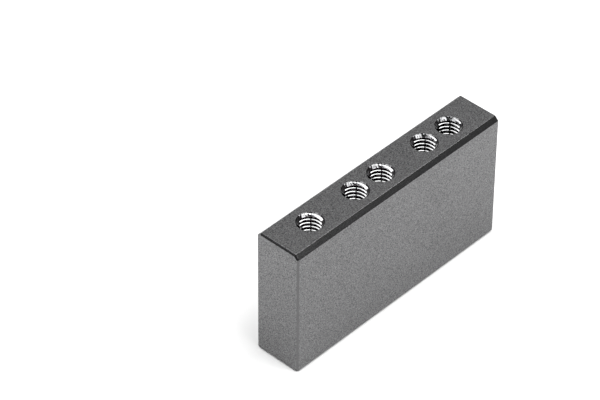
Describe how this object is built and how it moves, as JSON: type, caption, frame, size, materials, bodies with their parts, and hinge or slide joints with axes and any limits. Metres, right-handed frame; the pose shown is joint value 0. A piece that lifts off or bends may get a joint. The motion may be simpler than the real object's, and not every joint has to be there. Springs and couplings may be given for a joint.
{
  "type": "machined mounting block",
  "caption": "Narrow rectangular aluminium block that stands on edge, with a row of tapped blind holes in its top edge for screwing down a lug or plate.",
  "frame": {"origin": "middle of the seat, the narrow face opposite the tapped one", "axes": "+X along the bar, +Y through its thickness, +Z from the seat to the tapped face"},
  "size_m": [0.064, 0.012, 0.033],
  "materials": {
    "anodised_aluminium": "satin gunmetal anodise"
  },
  "bodies": {
    "root": {"mounting_block": "anodised_aluminium"}
  },
  "joints": []
}
